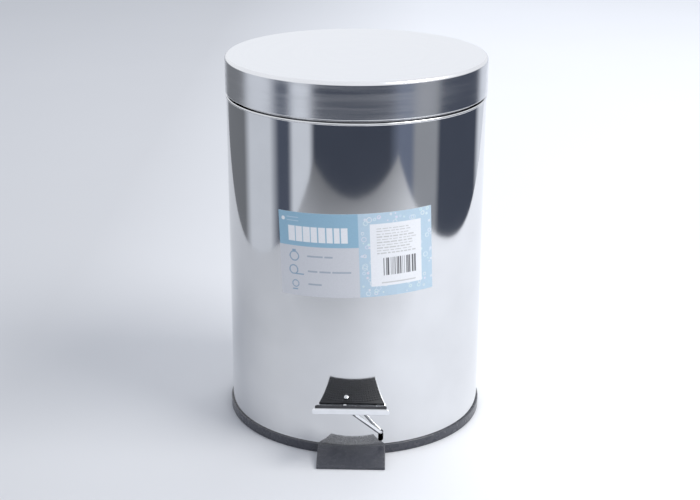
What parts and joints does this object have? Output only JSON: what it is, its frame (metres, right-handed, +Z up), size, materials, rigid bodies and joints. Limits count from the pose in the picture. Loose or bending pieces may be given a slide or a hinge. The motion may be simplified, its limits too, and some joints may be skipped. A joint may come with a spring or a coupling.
{
  "type": "pedal bin",
  "caption": "Round steel pedal bin with a hinged lid, inner bucket, wire pedal lever, lift rod and black plastic base.",
  "frame": {"origin": "on the floor under the axis of the round body, in the middle of the base", "axes": "+Z up, -Y to the front where the pedal is, +X to the right seen from the front"},
  "size_m": [0.2064, 0.2455, 0.295],
  "materials": {
    "polished_steel": "mirror polished stainless sheet",
    "brushed_lid": "fine brushed stainless sheet",
    "bright_chrome": "bright chrome plate",
    "plated_steel": "zinc plated",
    "base_plastic": "semi-gloss moulded plastic",
    "bucket_plastic": "satin moulded plastic",
    "pale_plastic": "natural nylon",
    "pad_rubber": "moulded rubber with raised dots",
    "label_paper": "coated printed paper"
  },
  "bodies": {
    "body": {"base": "base_plastic", "body_shell": "polished_steel", "label": "label_paper", "pivot_bracket": "plated_steel", "pivot_bracket_screws": "plated_steel", "pivot_pin": "plated_steel", "rod_guide_lower": "pale_plastic", "rod_guide_upper": "pale_plastic", "rod_guide_rivets": "plated_steel", "hinge_bracket": "plated_steel", "hinge_bracket_rivets": "plated_steel", "hinge_pin": "plated_steel", "inner_bucket": "bucket_plastic"},
    "lid": {"lid_shell": "brushed_lid", "lid_bracket": "plated_steel", "lid_bracket_rivets": "plated_steel", "crank_pin": "plated_steel"},
    "rod": {"lift_rod": "plated_steel", "rod_eye": "pale_plastic", "rod_foot": "pale_plastic"},
    "pedal": {"pedal_wire": "bright_chrome", "pivot_sleeve": "plated_steel", "pedal_tread": "bright_chrome", "tread_saddle": "plated_steel", "pedal_pad": "pad_rubber", "pad_rivet": "bright_chrome"},
    "handle": {"bucket_handle": "plated_steel", "handle_grip": "bucket_plastic"}
  },
  "joints": [
    {"name": "lid_hinge", "type": "hinge", "parent": "body", "child": "lid", "pos_m": [0, 0.11, 0.266], "axis": [-1, 0, 0], "range_deg": [0, 75]},
    {"name": "rod_slide", "type": "slide", "parent": "body", "child": "rod", "axis": [0, 0, 1], "range_m": [0, 0.0196]},
    {"name": "pedal_pivot", "type": "hinge", "parent": "body", "child": "pedal", "pos_m": [0.012, -0.056, 0.0115], "axis": [1, 0, 0], "range_deg": [0, 7.35]},
    {"name": "handle_pivot", "type": "hinge", "parent": "body", "child": "handle", "pos_m": [0, 0, 0.2773], "axis": [-1, 0, 0], "range_deg": [0, 8]}
  ],
  "couplings": [
    {"joint": "rod_slide", "follows": "lid_hinge", "m_per_rad": 0.014882},
    {"joint": "pedal_pivot", "follows": "lid_hinge", "ratio": 0.097599}
  ]
}
